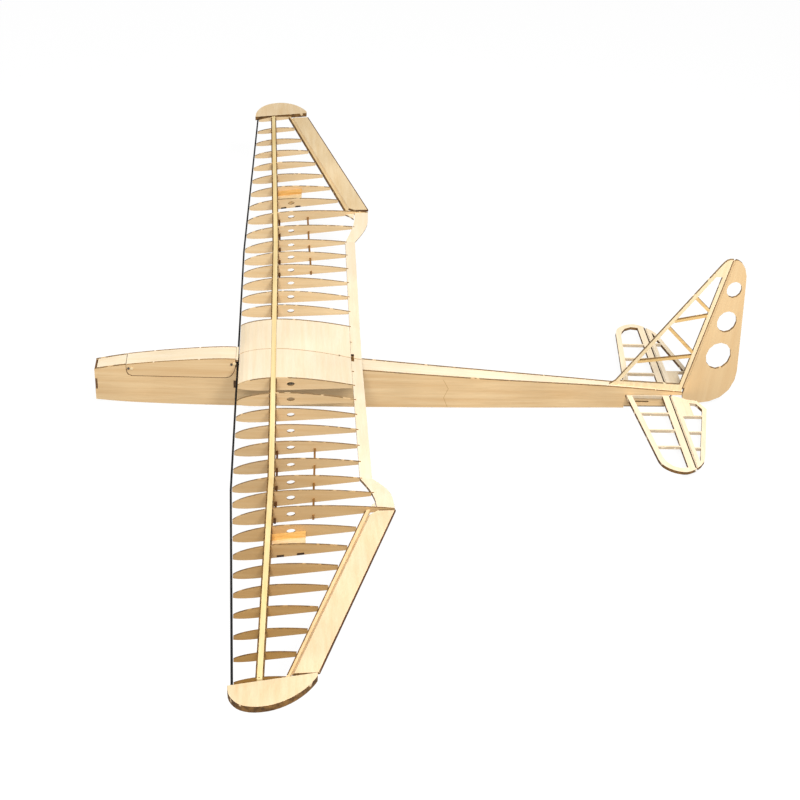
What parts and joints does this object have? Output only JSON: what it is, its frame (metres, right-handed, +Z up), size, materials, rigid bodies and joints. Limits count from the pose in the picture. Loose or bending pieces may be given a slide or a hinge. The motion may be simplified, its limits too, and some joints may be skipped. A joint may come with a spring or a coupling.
{
  "type": "glider airframe",
  "caption": "Uncovered built-up balsa glider frame: ribbed wing with raised outer panels, sheet-sided fuselage with lift-off hatch, open tail frames, hinged control surfaces.",
  "frame": {"origin": "on the flat belly, in the plane of symmetry, under the main spar of the centre panel", "axes": "+X to the nose, +Y to the port side, +Z up"},
  "size_m": [0.997, 1.5736, 0.2682],
  "materials": {
    "balsa_sheet": "sanded balsa sheet, pale cream",
    "balsa_cut": "sanded balsa with laser-charred edges, tan",
    "pine": "planed pine strip, yellow",
    "plywood": "birch and light plywood, laser cut",
    "carbon": "pultruded carbon rod, satin black"
  },
  "bodies": {
    "airframe": {"leading_edge_rod": "carbon", "spar_cap_top": "pine", "spar_cap_bottom": "pine", "trailing_edge": "balsa_sheet", "center_sheet_front": "balsa_sheet", "center_sheet_rear": "balsa_sheet", "rib_left_02": "balsa_cut", "rib_left_03": "balsa_cut", "rib_left_04": "balsa_cut", "rib_left_05": "balsa_cut", "rib_left_06": "balsa_cut", "rib_left_07": "balsa_cut", "rib_left_08": "balsa_cut", "rib_left_09": "balsa_cut", "rib_left_10": "balsa_cut", "rib_left_11": "balsa_cut", "rib_left_12": "balsa_cut", "rib_left_13": "balsa_cut", "rib_left_14": "balsa_cut", "rib_left_15": "balsa_cut", "rib_left_16": "balsa_cut", "rib_left_17": "balsa_cut", "aileron_spar_left": "balsa_cut", "wing_tip_left": "balsa_sheet", "servo_tray_left": "plywood", "fuselage_side_left": "balsa_cut", "rib_right_02": "balsa_cut", "rib_right_03": "balsa_cut", "rib_right_04": "balsa_cut", "rib_right_05": "balsa_cut", "rib_right_06": "balsa_cut", "rib_right_07": "balsa_cut", "rib_right_08": "balsa_cut", "rib_right_09": "balsa_cut", "rib_right_10": "balsa_cut", "rib_right_11": "balsa_cut", "rib_right_12": "balsa_cut", "rib_right_13": "balsa_cut", "rib_right_14": "balsa_cut", "rib_right_15": "balsa_cut", "rib_right_16": "balsa_cut", "rib_right_17": "balsa_cut", "aileron_spar_right": "balsa_cut", "wing_tip_right": "balsa_sheet", "servo_tray_right": "plywood", "fuselage_side_right": "balsa_cut", "fuselage_bottom": "balsa_sheet", "tail_ledge": "balsa_cut", "nose_deck": "balsa_sheet", "tail_deck": "balsa_sheet", "nose_former": "plywood", "wing_former": "plywood", "stabilizer": "balsa_sheet", "fin": "balsa_cut"},
    "aileron_left": {"aileron_left": "balsa_sheet"},
    "aileron_right": {"aileron_right": "balsa_sheet"},
    "elevator": {"elevator": "balsa_sheet"},
    "rudder": {"rudder": "balsa_cut"},
    "hatch": {"hatch": "balsa_sheet"}
  },
  "joints": [
    {"name": "aileron_left_hinge", "type": "hinge", "parent": "airframe", "child": "aileron_left", "pos_m": [-0.12532, 0.42249, 0.11446], "axis": [-0.3019, -0.949, -0.0912], "range_deg": [-20, 20]},
    {"name": "aileron_right_hinge", "type": "hinge", "parent": "airframe", "child": "aileron_right", "pos_m": [-0.12532, -0.42249, 0.11446], "axis": [0.3019, -0.949, 0.0912], "range_deg": [-20, 20]},
    {"name": "elevator_hinge", "type": "hinge", "parent": "airframe", "child": "elevator", "pos_m": [-0.6256, 0, 0.0214], "axis": [0, -1, 0], "range_deg": [-25, 25]},
    {"name": "rudder_hinge", "type": "hinge", "parent": "airframe", "child": "rudder", "pos_m": [-0.646, 0, 0.03], "axis": [-0.1599, 0, 0.9871], "range_deg": [-28, 28]},
    {"name": "hatch_lift", "type": "slide", "parent": "airframe", "child": "hatch", "axis": [0, 0, 1], "range_m": [0, 0.06]}
  ]
}
